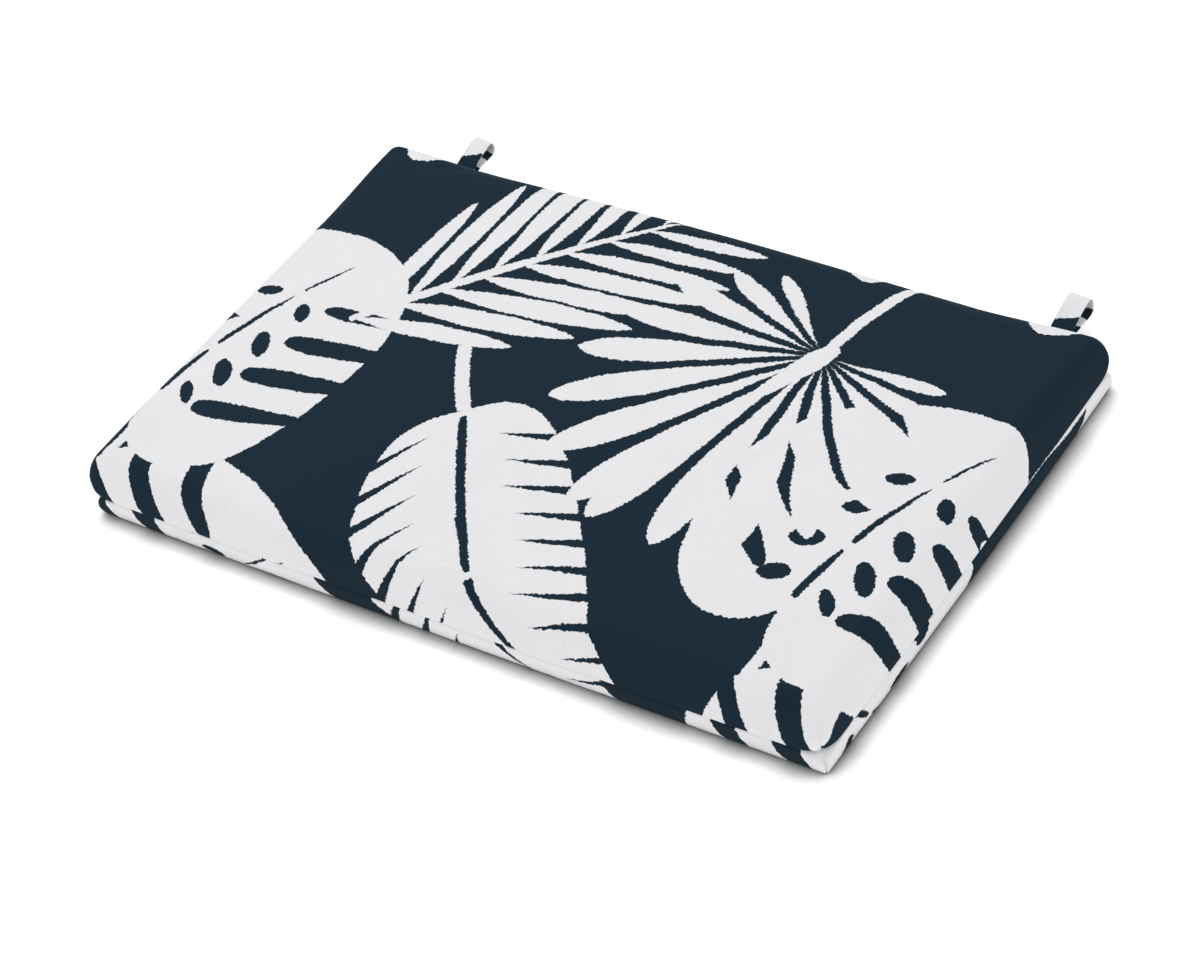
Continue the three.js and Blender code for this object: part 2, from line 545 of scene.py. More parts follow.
# %% Join the faces and their cloth places
faces, cloth_map, seam_map = [], [], []
for row in range(len(rows) - 1):
    panel = top_cloth if row >= seam_row else under_cloth
    for side, (start, steps) in enumerate(zip(side_starts, side_steps)):
        for step in range(steps):
            here = start + step
            after = (here + 1) % ring_size
            below, above = row * ring_size, (row + 1) * ring_size
            faces.append((below + here, below + after, above + after, above + here))
            corners = ((row, step), (row, step + 1), (row + 1, step + 1), (row + 1, step))
            for ring, column in corners:
                place = panel[ring][side][column]
                cloth_map.append(place if row >= seam_row else turn_over(place))
                seam_map.append((seam_distance[ring], start + column))


def add_patch(numbers, grid, distance, flipped):
    """Adds a patch's faces, with x and y as the cloth place."""
    for line in range(numbers.shape[0] - 1):
        for column in range(numbers.shape[1] - 1):
            corners = [(line, column), (line, column + 1)]
            corners += [(line + 1, column + 1), (line + 1, column)]
            if flipped:
                corners.reverse()
            faces.append(tuple(numbers[corner] for corner in corners))
            for corner in corners:
                place = grid[corner][:2]
                cloth_map.append(turn_over(place) if flipped else place)
                seam_map.append((distance, 0))


add_patch(under_numbers, underside, seam_distance[0], True)
add_patch(top_numbers, top, seam_distance[-1], False)
print("the cover has", len(faces), "faces")

# %% [markdown]
# ## Making a piece
# A mesh, its UV maps and its smooth shading belong together, so one function makes all three. The
# loops use it again later.

# %% Make the cover
def make_piece(name, vertices, polygons, maps):
    """A smooth piece with its UV maps."""
    mesh = bpy.data.meshes.new(name)
    mesh.from_pydata(vertices, [], polygons)
    mesh.polygons.foreach_set("use_smooth", [True] * len(polygons))
    for map_name, places in maps.items():
        layer = mesh.uv_layers.new(name=map_name)
        layer.data.foreach_set("uv", np.array(places, np.float32).ravel())
    return link(name, mesh)


faces = [tuple(int(number) for number in face) for face in faces]
cover = make_piece("cushion_cover", points.tolist(), faces, {"cloth": cloth_map, "seam": seam_map})
print("the cover has the UV maps", [layer.name for layer in cover.data.uv_layers])

# %% [markdown]
# ## Settling the cloth
# A drawn shape is too even for sewn canvas. Blender's cloth simulation lets the cover swell a
# little against its seams, which gives the shallow puckers that sewing leaves. The seam, the darts
# and the underside are pinned, gravity is off, and no point may move further than a small cap,
# so the cushion keeps its size. The result is written to the mesh and the simulation is removed.

# %% Run the simulation
PRESSURE = 0.8
EASE = -0.0008
LAST_FRAME = 12
MOST_MOVED = 0.7 * MM
PIN_REACH = 1.4 * MM


def pinned_points():
    """The points that sewing and the floor hold."""
    held = set(int(number) for number in under_numbers.ravel())
    corner_columns = set(side_starts)
    for row, height in enumerate(heights):
        near_seam = abs(height - SEAM_HEIGHT) < PIN_REACH
        low = height < FOOT_EDGE
        for column in range(ring_size):
            darted = column in corner_columns and height < DART_TOP
            if near_seam or low or darted:
                held.add(row * ring_size + column)
    return sorted(held)


def settle(piece):
    """Simulates the cover, caps the movement and keeps the result."""
    piece.vertex_groups.new(name="sewn").add(pinned_points(), 1.0, "ADD")
    cloth = piece.modifiers.new("settle", "CLOTH")
    cloth.settings.quality = 3
    cloth.settings.mass = 0.3
    cloth.settings.tension_stiffness = 25
    cloth.settings.compression_stiffness = 25
    cloth.settings.shear_stiffness = 10
    cloth.settings.bending_stiffness = 0.6
    cloth.settings.vertex_group_mass = "sewn"
    cloth.settings.use_pressure = True
    cloth.settings.uniform_pressure_force = PRESSURE
    cloth.settings.shrink_min = EASE
    cloth.settings.effector_weights.gravity = 0
    cloth.collision_settings.use_collision = False
    cloth.point_cache.frame_start = 1
    cloth.point_cache.frame_end = LAST_FRAME
    for number in range(1, LAST_FRAME + 1):
        bpy.context.scene.frame_set(number)
    settled = piece.evaluated_get(bpy.context.evaluated_depsgraph_get())
    moved = np.zeros(len(points) * 3, np.float32)
    settled.data.vertices.foreach_get("co", moved)
    shift = moved.reshape(-1, 3) - points
    length = np.linalg.norm(shift, axis=1, keepdims=True)
    shift *= np.minimum(1, MOST_MOVED / np.maximum(length, 1e-9))
    piece.modifiers.remove(cloth)
    piece.vertex_groups.clear()
    piece.data.vertices.foreach_set("co", (points + shift).astype(np.float32).ravel())
    piece.data.update()
    bpy.context.scene.frame_set(1)
    return length.ravel()


travel = settle(cover)
mean_move, most_move = (round(float(value) / MM, 2) for value in (travel.mean(), travel.max()))
print("points moved, mm:", mean_move, "mean", most_move, "most")

# %% [markdown]
# ## One blade of a leaf
# The print is leaves cut out in off-white on navy. A painted image would be quick, but it has a
# fixed number of pixels and has to be stored. Here each leaf is a formula, so its edge is sharp at
# any distance. Bodies, stems and ribs are all blades: a blade starts at a base, runs along a
# heading, swells and closes again, and may bend. A shape's output is below zero inside it, so
# MINIMUM joins two shapes and MAXIMUM with the second one turned over cuts it out.

# %% Build formulas from nodes
EDGE = 0.5 * MM
SHAPE_PLACES = ("Cloth", "Base", "Along", "Across")
BLADE_SETTINGS = ("Half width", "Bend", "Root", "Tip")


def new_group(name, vectors, floats):
    """An empty node group, the terms that go into it and the socket of its distance."""
    group = bpy.data.node_groups.new(name, "ShaderNodeTree")
    for kind, names in (("NodeSocketVector", vectors), ("NodeSocketFloat", floats)):
        for socket in names:
            group.interface.new_socket(socket, in_out="INPUT", socket_type=kind)
    group.interface.new_socket("Distance", in_out="OUTPUT", socket_type="NodeSocketFloat")
    sockets = group.nodes.new("NodeGroupInput").outputs
    given = {name: Term(sockets[name]) for name in (*vectors, *floats)}
    return group, given, group.nodes.new("NodeGroupOutput").inputs["Distance"]


def vector_math(operation, *values):
    """One vector math node. A dot product gives a number and all others give a vector."""
    node = node_from("VectorMath", *values)
    node.operation = operation
    return Term(node.outputs["Value" if operation == "DOT_PRODUCT" else "Vector"])


def scaled(vector, factor):
    """A vector times a number."""
    product = vector_math("SCALE", vector)
    wire(product.socket.node.inputs["Scale"], factor)
    return product


def seen_from_base(given):
    """How far a place is ahead of a shape's base, and how far aside of it."""
    place = vector_math("SUBTRACT", given["Cloth"], given["Base"])
    return [vector_math("DOT_PRODUCT", place, given[way]) for way in ("Along", "Across")]


def blade_edge(share, aside, half, root, tip):
    """Distance from a blade's edge, by the share of its length and the distance from its middle."""
    swell = share**root * (1.0 - share) ** tip
    return abs(aside) - (swell * half - EDGE)


def make_blade_group():
    """A single blade."""
    tree, given, result = new_group("blade", SHAPE_PLACES, BLADE_SETTINGS)
    share, aside = seen_from_base(given)
    share = calculate("ADD", share, 0.0, clamp=True)
    aside = aside - (1.0 - share) * share * given["Bend"]
    wire(result, blade_edge(share, aside, given["Half width"], given["Root"], given["Tip"]))
    return tree


blade_group = make_blade_group()
print("the blade group has", len(blade_group.nodes), "nodes")

# %% [markdown]
# ## A heart
# A broad leaf has lobes that reach back past its stalk, which no blade can do. Its outline is a
# heart instead: the reach depends on the angle round the base, furthest ahead and nothing behind.

# %% Build the heart group
HEART_POWER = 0.72


def make_heart_group():
    """A heart-shaped leaf round its base."""
    tree, given, result = new_group("heart", SHAPE_PLACES, ("Length",))
    ahead, aside = seen_from_base(given)
    distance = calculate("SQRT", ahead * ahead + aside * aside + EDGE * EDGE)
    facing = (ahead / distance + 1.0) * 0.5
    wire(result, distance - facing**HEART_POWER * given["Length"])
    return tree


def widest_heart():
    """The half width of a heart of length 1."""
    turn = np.linspace(0, math.pi, 181)
    return float((((1 + np.cos(turn)) / 2) ** HEART_POWER * np.sin(turn)).max())


heart_group = make_heart_group()
print("a heart is", round(2 * widest_heart(), 2), "times as wide as long")

# %% [markdown]
# ## A row of blades
# Leaflets, splits, holes and tears all stand in rows along a rib. A node group for each of them
# would be more than a shader can hold. The plane is folded instead: the distance along the rib says
# which blade of the row is nearest, and one formula draws that one. The row is folded at the rib
# too, so both sides come from the same nodes, one side a little behind the other. A noise value for
# each blade makes its length uneven, as freehand cutting does.

# %% Build the row group
ROW_SKEW = 0.25
FLARE_POWER = 4.0
ROW_SETTINGS = (
    "Count", "Pitch", "Phase", "Stagger", "Lean", "Curve",
    "Start", "Reach", "Half width", "Flare", "Least", "Uneven", "Root", "Tip",
)


def fullness_of(share, least):
    """How full a blade is by its place in the row: least at the ends, 1 near the middle."""
    turn = share * (math.pi * (1 - ROW_SKEW)) + math.pi * ROW_SKEW
    return calculate("SINE", turn) * (1.0 - least) + least


def chance_of(*keys):
    """A noise value between 0 and 1 for each set of keys."""
    key = Term(node_from("CombineXYZ", *keys).outputs["Vector"])
    return Term(node_from("TexWhiteNoise", key).outputs["Value"])


def make_row_group():
    """A row of blades on both sides of a rib."""
    tree, given, result = new_group("blade row", SHAPE_PLACES, ROW_SETTINGS)
    ahead, aside = seen_from_base(given)
    side = calculate("GREATER_THAN", aside, 0.0)
    aside = abs(aside)
    ahead = ahead - given["Phase"] - side * given["Stagger"] + aside * aside * given["Curve"]
    sine = calculate("SINE", given["Lean"])
    cosine = calculate("COSINE", given["Lean"])
    root = ahead - aside * cosine / sine
    number = calculate("MAXIMUM", calculate("ROUND", root / given["Pitch"]), 0.0)
    number = calculate("MINIMUM", number, given["Count"] - 1.0)
    uneven = (chance_of(number, side, given["Pitch"]) - 0.5) * given["Uneven"]
    fullness = fullness_of(number / given["Count"], given["Least"]) * (uneven + 1.0)
    ahead = ahead - number * given["Pitch"]
    along = ahead * cosine + aside * sine - given["Start"] * fullness
    across = aside * cosine - ahead * sine
    share = calculate("DIVIDE", along, given["Reach"] * fullness, clamp=True)
    edge = blade_edge(share, across, given["Half width"] * fullness, given["Root"], given["Tip"])
    wire(result, edge - share**FLARE_POWER * given["Flare"])
    return tree


row_group = make_row_group()
print("the row group has", len(row_group.nodes), "nodes")

# %% [markdown]
# ## A ring of blades
# A fan palm is folded by angle instead: the angle round its hub says which leaflet is nearest.

# %% Build the ring group
RING_SETTINGS = ("Step", "Half count", "Reach", "Half width", "Shorter", "Swirl", "Root", "Tip")
SHORTER_POWER = 1.5
NARROWER_POWER = 1.2


def make_ring_group():
    """Blades round one point, shorter to either side."""
    tree, given, result = new_group("blade ring", SHAPE_PLACES, RING_SETTINGS)
    ahead, aside = seen_from_base(given)
    distance = calculate("SQRT", ahead * ahead + aside * aside)
    turn = calculate("ARCTAN2", aside, ahead)
    side = calculate("SIGN", turn)
    turn = turn - distance * given["Swirl"] * side
    number = abs(calculate("ROUND", turn / given["Step"]))
    number = calculate("MINIMUM", number, given["Half count"]) * side
    off = turn - number * given["Step"]
    fullness = 1.0 - (abs(number) / given["Half count"]) ** SHORTER_POWER * given["Shorter"]
    along = distance * calculate("COSINE", off)
    across = distance * calculate("SINE", off)
    share = calculate("DIVIDE", along, given["Reach"] * fullness, clamp=True)
    half = given["Half width"] * fullness**NARROWER_POWER
    wire(result, blade_edge(share, across, half, given["Root"], given["Tip"]))
    return tree


ring_group = make_ring_group()
print("the ring group has", len(ring_group.nodes), "nodes")

# %% [markdown]
# ## Leaves grown by rule
# Each kind of leaf is a rule that says which blades, rows and rings it has. Sizes are in
# millimetres and angles in degrees, which are easy to picture. A shape is kept as the node group it
# uses, where it stands and its settings. A leaf is kept as its base, heading, bow and length, the
# shapes that it grows and the shapes that are cut out of it.

# %% Describe a shape
def away_from(x, y, heading, length):
    """The point a length away along a heading."""
    turn = math.radians(heading)
    return x + length * math.cos(turn), y + length * math.sin(turn)


def swell_for(half, root, tip):
    """The swell that gives a blade with these ends its half width, in metres."""
    fullest = (root / (root + tip)) ** root * (tip / (root + tip)) ** tip
    return half * MM / fullest


def blade(start, heading, length, half, root, tip, bend=0.0):
    """One blade: root and tip say how bluntly its ends close, bend is a share of its length."""
    values = (swell_for(half, root, tip), 4 * bend * length * MM, root, tip)
    settings = dict(zip(BLADE_SETTINGS, values))
    return blade_group, start, heading, (1 / (length * MM), 1.0), settings


def heart(start, heading, length, half):
    """A heart-shaped leaf, squeezed to its half width."""
    squeeze = length * widest_heart() / half
    return heart_group, start, heading, (1.0, squeeze), {"Length": length * MM}


def row_of(
    start, heading, count, pitch, lean, reach, half, root, tip,
    phase=0.0, stagger=0.3, curve=0.0, first=0.0, flare=0.0, least=0.5, uneven=0.1,
):
    """A row of blades along a rib, which may start late, flare, and be uneven or staggered."""
    values = (
        count, pitch * MM, phase * MM, stagger * pitch * MM, math.radians(lean), curve,
        first * MM, reach * MM, swell_for(half, root, tip), flare * MM, least, uneven, root, tip,
    )
    return row_group, start, heading, (1.0, 1.0), dict(zip(ROW_SETTINGS, values))


def shape_count(leaf):
    """How many shapes a leaf has, grown and cut."""
    return len(leaf[-2]) + len(leaf[-1])


print("a row of blades has", len(ROW_SETTINGS), "settings")

# %% [markdown]
# ## A palm frond
# A feather palm has a thin rib with pairs of pointed leaflets that lean forward and droop a little.
# Every leaflet could be drawn by itself, but then nothing could be changed quickly. Here one row
# stands for all of them, and the rule only says how many pairs there are and how long they grow.

# %% Grow a palm frond
def frond(x, y, heading, length, pairs, reach, half):
    """Pairs of pointed leaflets along a thin rib, longest at the middle."""
    pitch = length / (pairs + 0.4)
    rib = blade((x, y), heading, length, half=5, root=0.12, tip=0.5)
    leaflets = row_of(
        (x, y), heading, pairs, pitch, lean=42, reach=reach, half=half, root=0.75, tip=0.6,
        phase=pitch * 0.1, curve=-0.4, least=0.45, uneven=0.12,
    )
    return (x, y), heading, 0.02, length, [rib, leaflets], []


print("a frond is made of", shape_count(frond(0, 0, 0, 275, 8, 158, 10)), "shapes")

# %% [markdown]
# ## A fan palm
# The leaflets of a fan palm all spring from the end of its stalk. One ring of blades gives them.
# They are narrow at the hub and fullest near their tips, so that the ground shows between them.

# %% Grow a fan palm
LEAFLET_ENDS = (1.8, 0.6)
LEAFLET_SHORTER = 0.53
LEAFLET_SWIRL = 0.25


def fan(x, y, heading, spread, count, reach, half, stem, stem_turn):
    """Leaflets round one point, shorter towards the stem."""
    values = (
        math.radians(spread / (count - 1)), (count - 1) / 2, reach * MM,
        swell_for(half, *LEAFLET_ENDS), LEAFLET_SHORTER, LEAFLET_SWIRL, *LEAFLET_ENDS,
    )
    leaflets = (ring_group, (x, y), heading, (1.0, 1.0), dict(zip(RING_SETTINGS, values)))
    hub_start = away_from(x, y, heading, -14)
    hub = blade(hub_start, heading, length=100, half=10, root=0.4, tip=1.2)
    stalk = blade((x, y), heading + 180 + stem_turn, stem, half=5.5, root=0.12, tip=0.2, bend=0.05)
    return (x, y), heading, 0, reach, [leaflets, hub, stalk], []


print("a fan is made of", shape_count(fan(0, 0, 0, 219, 15, 214, 15.5, 110, 8)), "shapes")

# %% [markdown]
# ## A split leaf with holes
# The large leaf of a climbing house plant has deep splits between its lobes and a row of holes
# beside its rib. It grows as a heart. Its splits are a row of blades that open at the edge, its
# holes are a second row between them, and its rib is three thin blades. All three are cut out of
# the heart, which is easier than drawing an outline that goes in and out.

# %% Grow a split leaf
def rib_of(x, y, heading, length, parts):
    """A rib in parts, each with its start and length as shares, its half width and its ends."""
    return [
        blade(away_from(x, y, heading, length * start), heading, length * share, half, root, tip)
        for start, share, half, root, tip in parts
    ]


def split_leaf(x, y, heading, length, half, splits, stem=0, stem_turn=0):
    """A heart-shaped leaf with splits open to its edge, holes and a rib in three parts."""
    grown = [heart((x, y), heading, length, half)]
    if stem:
        turn = heading + 180 + stem_turn
        grown.append(blade((x, y), turn, stem, half=5, root=0.08, tip=0.08, bend=0.08))
    pitch = length * 0.8 / splits
    open_splits = row_of(
        (x, y), heading, splits, pitch, lean=68, reach=half * 0.95, half=pitch * 0.22,
        root=0.33, tip=0.85, stagger=-0.1, curve=-0.7, first=half * 0.36, flare=pitch * 0.1,
        least=0.75, uneven=0.2,
    )
    holes = row_of(
        (x, y), heading, splits, pitch * 0.84, lean=128, reach=length * 0.12, half=length * 0.034,
        root=0.5, tip=0.5, phase=pitch * 0.9, stagger=-0.1, first=length * 0.095,
        least=0.8, uneven=0.3,
    )
    rib = rib_of(x, y, heading, length, (
        (0.04, 0.23, 3.8, 0.12, 0.3), (0.31, 0.32, 3.0, 0.15, 0.4), (0.67, 0.2, 1.8, 0.2, 0.4),
    ))
    return (x, y), heading, 0.07, length, grown, [open_splits, holes, *rib]


print("a split leaf is made of", shape_count(split_leaf(0, 0, 0, 216, 122, 4)), "shapes")

# %% [markdown]
# ## A banana leaf
# Wind tears a banana leaf from its edge towards the rib. The leaf is one long blade on a stalk, and
# the tears are a row of cuts that are narrow at the rib and widest at the edge.

# %% Grow a banana leaf
def torn_leaf(x, y, heading, length, half, tears, stem):
    """A long leaf with a two-part rib and narrow tears from its edge."""
    grown = [
        blade((x, y), heading, length, half, root=0.3, tip=0.4),
        blade((x, y), heading + 174, stem, half=6, root=0.03, tip=0.01, bend=0.03),
    ]
    pitch = length * 0.96 / tears
    torn = row_of(
        (x, y), heading, tears, pitch, lean=66, reach=half, half=5.8, root=0.85, tip=0.02,
        phase=pitch * 0.3, stagger=0.5, first=half * 0.38, least=0.8, uneven=0.5,
    )
    rib = rib_of(x, y, heading, length, ((0.02, 0.47, 4.2, 0.08, 0.1), (0.51, 0.3, 4.2, 0.08, 0.6)))
    return (x, y), heading, -0.045, length, grown, [torn, *rib]


print("a banana leaf is made of", shape_count(torn_leaf(0, 0, 0, 330, 82, 12, 72)), "shapes")

# %% [markdown]
# ## A plain leaf
# Small smooth leaves fill the gaps of such a print. One blade is enough for each of them.

# %% Grow a plain leaf
def plain_leaf(x, y, heading, length, half):
    """A single smooth leaf."""
    body = blade((x, y), heading, length, half, root=0.45, tip=0.6)
    return (x, y), heading, 0.05, length, [body], []


print("a plain leaf is made of", shape_count(plain_leaf(0, 0, 0, 60, 26)), "shape")

# %% [markdown]
# ## The repeat of the print
# The whole print is seven leaves that come again and again, as on real cloth, where the roller has
# one turn's length of drawing. Each leaf is placed by its base and its heading, and its rule does
# the rest. Where two leaves cross, they simply run together into one off-white shape.

# %% Place the leaves
REPEAT = (554, 670)
PRINT = [
    split_leaf(248, -123, 69, 216, 122, 4, 62, 28),
    split_leaf(300, -350, 43, 205, 140, 3),
    plain_leaf(96, 243, 303, 72, 24),
    plain_leaf(282, 240, 258, 60, 26),
    torn_leaf(-66, -49, 311, 330, 82, 12, 72),
    frond(-211, 2, 46, 275, 8, 158, 10),
    fan(146, 97, 248, 219, 15, 214, 15.5, 110, 8),
]
print("the print has", sum(shape_count(leaf) for leaf in PRINT), "shapes")

# %% [markdown]
# ## From rules to nodes
# The rules above are only numbers. Now each shape becomes one group node. Before that, each leaf
# gets its own view of the cloth. It is wrapped about the leaf's middle, so that the leaf comes
# again one repeat further on, and it is bowed along the rib, because a straight leaf looks stiff.

# %% Turn the leaves into nodes
def directions(heading):
    """Unit vectors along a heading and to its left."""
    turn = math.radians(heading)
    ahead = Vector((math.cos(turn), math.sin(turn), 0))
    return ahead, Vector((-ahead.y, ahead.x, 0))


def group_distance(group, cloth, settings):
    """The distance that a group gives for a place on the cloth."""
    node = cloth.socket.id_data.nodes.new("ShaderNodeGroup")
    node.node_tree = group
    fill(node, {"Cloth": cloth} | settings)
    return Term(node.outputs["Distance"])


def shape_distance(cloth, shape):
    """One blade, heart, row or ring, in metres."""
    group, start, heading, scale, settings = shape
    ahead, aside = directions(heading)
    base = Vector((*start, 0)) * MM
    places = {"Base": base, "Along": ahead * scale[0], "Across": aside * scale[1]}
    return group_distance(group, cloth, places | settings)


def leaf_cloth(cloth, base, heading, bow, length):
    """The cloth as one leaf sees it: repeated about its own middle, and bowed along its rib."""
    ahead, aside = directions(heading)
    start = Vector((*base, 0)) * MM
    middle = start + ahead * length / 2 * MM
    half = Vector((*REPEAT, 0)) * MM / 2
    cloth = vector_math("WRAP", cloth, middle + half, middle - half)
    share = vector_math("DOT_PRODUCT", vector_math("SUBTRACT", cloth, start), ahead / (length * MM))
    share = calculate("ADD", share, 0.0, clamp=True)
    arch = (1.0 - share) * share * (4 * bow * length * MM)
    shift = Term(node_from("CombineXYZ", arch * aside.x, arch * aside.y).outputs["Vector"])
    return vector_math("SUBTRACT", cloth, shift)


def join(cloth, shapes):
    """Several shapes as one."""
    joined = shape_distance(cloth, shapes[0])
    for shape in shapes[1:]:
        joined = calculate("MINIMUM", joined, shape_distance(cloth, shape))
    return joined


def make_print_group():
    """All the leaves: below zero where the cloth is off-white."""
    tree, given, result = new_group("leaf print", ("Cloth",), ())
    whole = None
    for base, heading, bow, length, grown, cuts in PRINT:
        cloth = leaf_cloth(given["Cloth"], base, heading, bow, length)
        leaf = join(cloth, grown)
        if cuts:
            leaf = calculate("MAXIMUM", leaf, join(cloth, cuts) * -1.0)
        whole = calculate("MINIMUM", whole, leaf) if whole else leaf
    wire(result, whole)
    return tree


print_group = make_print_group()
print("the print group has", len(print_group.nodes), "nodes")

# %% [markdown]
# ## The printed canvas
# Outdoor canvas is a plain weave of coloured thread, matt, with a faint sheen at a low angle. The
# ink stops at whole threads, so the edge of a leaf is a little ragged. Three scales of detail are
# added: a wander of the leaf edge, a thread-sized raggedness, and the weave itself, which raises a
# fine bump and paints shade into the colour, a few parts in a hundred lighter where the weave is
# high and darker where it is low. Long slubs run with the threads.

# %% Build the canvas
NAVY = (0.0045, 0.0185, 0.033, 1)
OFF_WHITE = (0.768, 0.768, 0.784, 1)
THREAD = 0.55 * MM
WANDER = 2.2 * MM
WANDER_SIZE = 22 * MM
RAGGED = 2.4 * MM
RAGGED_SIZE = 2.2 * MM
INK_EDGE = 0.3 * MM
SLUB_SIZE = 0.8 * MM
SLUB_STRETCH = 0.06
SLUB_RANGE = (0.5, 1.5)
SLUB_SHADE = (-0.055, 0.055)
# Painted shade from the weave: the colour is lighter where the thread is high and darker where it
# is low.
PAINTED_WEAVE_SHADE = (-0.03, 0.03)
CLOUD_SIZE = 60 * MM
CLOUD_RANGE = (0.25, 0.75)
CLOUD_SHADE = (0.985, 1.015)
ROUGHNESS = (0.80, 0.92)
WEAVE_HEIGHT = 0.03 * MM
SLUB_HEIGHT = 0.05 * MM
RELIEF = 0.6


def noise(place, feature, detail=0.0, stretch=(1, 1, 1)):
    """The outputs of a noise node whose features are about the given size."""
    node = node_from("TexNoise", vector_math("MULTIPLY", place, stretch))
    fill(node, {"Scale": 1 / feature, "Detail": detail})
    return node.outputs


def push(place, feature, reach):
    """Moves a place about by noise."""
    offset = vector_math("SUBTRACT", Term(noise(place, feature)["Color"]), (0.5, 0.5, 0.5))
    return vector_math("ADD", place, vector_math("MULTIPLY", offset, (reach, reach, 0)))


def weave_height(place):
    """The crowns of the threads in a plain weave."""
    wave = vector_math("SINE", scaled(place, math.pi / THREAD))
    parts = node_from("SeparateXYZ", wave).outputs
    return Term(parts["X"]) * Term(parts["Y"])


def printed_colour(place):
    """Off-white inside the leaves and navy outside them."""
    inked = push(push(place, WANDER_SIZE, WANDER), RAGGED_SIZE, RAGGED)
    leaves = group_distance(print_group, inked, {})
    colour = node_from("Mix", between(leaves, -INK_EDGE, INK_EDGE, 0.0, 1.0))
    colour.data_type = "RGBA"
    fill(colour, {"A": OFF_WHITE, "B": NAVY})
    return Term(colour.outputs["Result"])


def map_place(nodes, name):
    """The place on the map with this name."""
    node = nodes.new("ShaderNodeUVMap")
    node.uv_map = name
    return Term(node.outputs["UV"])


def make_canvas(name, seamed):
    """Printed canvas. A seamed piece also puckers beside its seam."""
    material, nodes, shader = new_material(name)
    place = map_place(nodes, "cloth")
    weave = weave_height(place)
    warp, weft = (
        Term(noise(place, SLUB_SIZE, 1.0, stretch)["Fac"])
        for stretch in ((1, SLUB_STRETCH, 1), (SLUB_STRETCH, 1, 1))
    )
    slubs = warp + weft
    clouds = Term(noise(place, CLOUD_SIZE, 2.0)["Fac"])
    # The slubs and clouds are the thread's own uneven tone, and the weave term is painted shade and
    # highlight.
    tone_and_weave_shade = between(slubs, *SLUB_RANGE, *SLUB_SHADE) + between(weave, -1, 1, *PAINTED_WEAVE_SHADE)
    tone_and_weave_shade = tone_and_weave_shade + between(clouds, *CLOUD_RANGE, *CLOUD_SHADE)
    relief = weave * WEAVE_HEIGHT + slubs * SLUB_HEIGHT
    if seamed:
        relief = relief + pucker_height(map_place(nodes, "seam"))
    bump = nodes.new("ShaderNodeBump")
    fill(bump, {"Distance": 1.0, "Strength": RELIEF, "Height": relief})
    fill(shader, {
        "Base Color": scaled(printed_colour(place), tone_and_weave_shade),
        "Roughness": between(slubs, *SLUB_RANGE, *ROUGHNESS),
        "Specular IOR Level": 0.12,
        "Sheen Weight": 0.03,
        "Sheen Roughness": 0.5,
        "Normal": bump.outputs["Normal"],
    })
    return material


print("one thread is", round(THREAD / MM, 2), "mm wide")

# %% [markdown]
# ## The puckers
# Where thread pulls two panels together the cloth gathers in short ripples that stand square to the
# seam and die out within two centimetres. They are bump, since they are only a fraction of a
# millimetre high. The second UV map gives the distance from the seam that they need.

# %% Add puckers beside the seam
PUCKER_HEIGHT = 0.35 * MM
PUCKER_REACH = 14 * MM
PUCKER_PITCH = 2.6
PUCKER_DRIFT = 40.0


def pucker_height(seam_place):
    """Ripples along the seam that fade with distance from it."""
    parts = node_from("SeparateXYZ", seam_place).outputs
    distance, column = Term(parts["X"]), Term(parts["Y"])
    along = node_from("CombineXYZ", column * (1 / PUCKER_PITCH), distance * PUCKER_DRIFT)
    ripples = node_from("TexNoise", Term(along.outputs["Vector"]))
    ripples.inputs["Scale"].default_value = 1.0
    near = between(abs(distance), 0.0, PUCKER_REACH, 1.0, 0.0)
    return Term(ripples.outputs["Fac"]) * (near * near * PUCKER_HEIGHT)


cover_canvas = make_canvas("printed canvas", True)
cover.data.materials.append(cover_canvas)
print("the cover's material has", len(cover_canvas.node_tree.nodes), "nodes")

# %% [markdown]
# ## The hanging loops
# Two strips of the same canvas are folded back on themselves and caught in the back seam. Both
# runs lie together where they leave the seam, then open into an eye that a cord or a slat can go
# through. A simulation would erase a strip this narrow, so it is swept along its fold. The
# strip's section has round edges, because its raw edges are turned in.

# %% Sweep the strips
STRIP_THICKNESS = 1.8 * MM
TAIL_LENGTH = 9 * MM
SPREAD = 1.0 * MM
FOLD_STEPS = 20
RUN_STEPS = 18
FACE_STEPS = 10
EDGE_STEPS = 4
LOOPS = (
    {
        "node": "loop_left", "fold_height": 12 * MM, "fold_middle": 25 * MM, "skew": 2.8 * MM,
        "outside": (-0.146, -0.257, 1), "inside": (0.0, 0.207, -1),
    },
    {
        "node": "loop_right", "fold_height": 15 * MM, "fold_middle": 23 * MM, "skew": 1.7 * MM,
        "outside": (0.325, -0.006, 1), "inside": (0.018, 0.209, -1),
    },
)


def curve_points(controls, steps):
    """A cubic curve that starts and ends at the first and the last of its four controls."""
    share = np.linspace(0, 1, steps + 1)[:, None]
    left = 1 - share
    weights = (left**3, 3 * left**2 * share, 3 * left * share**2, share**3)
    return sum(weight * np.array(control) for weight, control in zip(weights, controls))


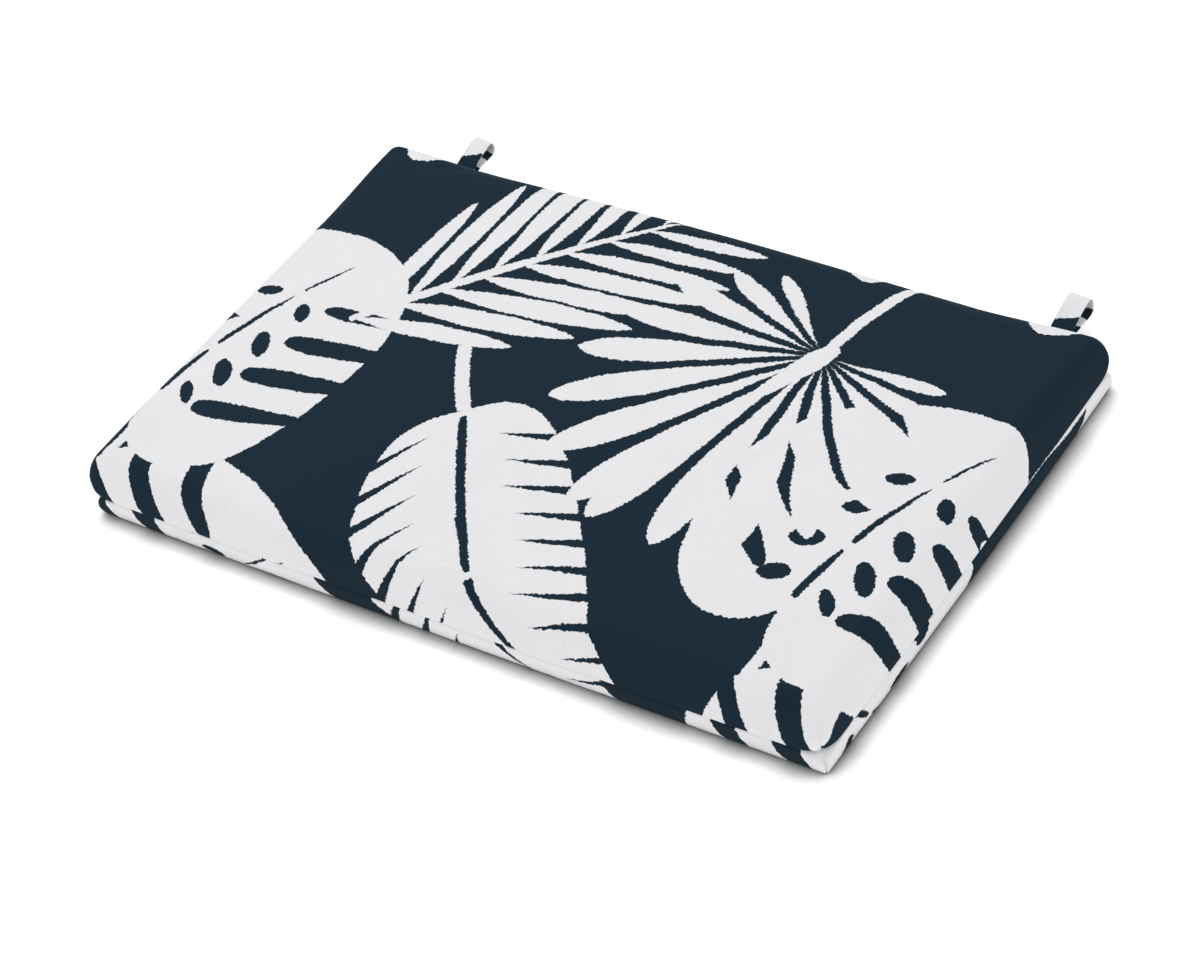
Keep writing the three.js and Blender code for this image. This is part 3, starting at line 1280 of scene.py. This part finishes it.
def strip_path(root, tip, loop):
    """The middle of the strip from the seam, round the fold and back, in y and z."""
    radius = loop["fold_height"] / 2 - STRIP_THICKNESS / 2
    middle = tip - loop["fold_height"] / 2
    start = root + TAIL_LENGTH
    length = middle - start
    runs = []
    for way in (-1, 1):
        level = loop["fold_middle"] + way * radius
        seam = SEAM_HEIGHT + way * SPREAD
        bend = seam * 0.75 + level * 0.25
        controls = (
            (start, seam), (start + length * 0.35, bend),
            (start + length * 0.7, level), (middle, level),
        )
        tail = [(root, seam), (root + TAIL_LENGTH / 2, seam)]
        runs.append(np.concatenate((tail, curve_points(controls, RUN_STEPS))))
    turn = np.linspace(-math.pi / 2, math.pi / 2, FOLD_STEPS + 1)[1:-1]
    fold_height = loop["fold_middle"] + radius * np.sin(turn)
    fold = np.column_stack((middle + radius * np.cos(turn), fold_height))
    return np.concatenate((runs[0], fold, runs[1][::-1]))


def strip_section(width):
    """The strip's section: across it and out from its middle, with round edges."""
    radius = STRIP_THICKNESS / 2
    flat = np.linspace(-width / 2 + radius, width / 2 - radius, FACE_STEPS + 1)
    turn = np.linspace(math.pi / 2, -math.pi / 2, EDGE_STEPS + 1)[1:-1]
    edge = np.column_stack((width / 2 - radius + radius * np.cos(turn), radius * np.sin(turn)))
    upper = np.column_stack((flat, np.full(len(flat), radius)))
    return np.concatenate((upper, edge, -upper, -edge))


def make_loop(loop):
    """A folded strip with its own cloth places."""
    low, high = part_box(loop["node"])
    width = high.x - low.x
    path = strip_path(low.y, high.y, loop)
    ahead = np.gradient(path, axis=0)
    ahead /= np.linalg.norm(ahead, axis=1, keepdims=True)
    outward = np.column_stack((ahead[:, 1], -ahead[:, 0]))
    run = np.concatenate(([0], np.cumsum(np.linalg.norm(np.diff(path, axis=0), axis=1))))
    section = strip_section(width)
    count = len(section)
    vertices = []
    for place, out in zip(path, outward):
        for across, height in section:
            y, z = place + out * height
            y -= loop["skew"] * (across / width + 0.5) * (place[0] - low.y) / (high.y - low.y)
            vertices.append(((low.x + high.x) / 2 + across, y, z))
    quads, places = [], []
    for step in range(len(path) - 1):
        for here in range(count):
            after = (here + 1) % count
            start = loop["inside"] if section[here, 1] + section[after, 1] < 0 else loop["outside"]
            for ring, column in ((step, here), (step, after), (step + 1, after), (step + 1, here)):
                places.append((start[0] + section[column, 0], start[1] + start[2] * run[ring]))
            first, second = step * count, (step + 1) * count
            quads.append((first + here, first + after, second + after, second + here))
    quads.append(tuple(reversed(range(count))))
    quads.append(tuple(range((len(path) - 1) * count, len(path) * count)))
    places += [loop["outside"][:2]] * 2 * count
    strip = make_piece(loop["node"] + "_strip", vertices, quads, {"cloth": places})
    return strip, (width, float(run[-1]))


strip_canvas = make_canvas("printed strip", False)
for loop in LOOPS:
    strip, flat_size = make_loop(loop)
    strip.data.materials.append(strip_canvas)
    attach(strip, "root")
    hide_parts(loop["node"])
    print(loop["node"], "is cut, mm:", [round(side / MM, 1) for side in flat_size])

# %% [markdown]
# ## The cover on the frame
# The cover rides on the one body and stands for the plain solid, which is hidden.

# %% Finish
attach(cover, "root")
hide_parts("cushion")
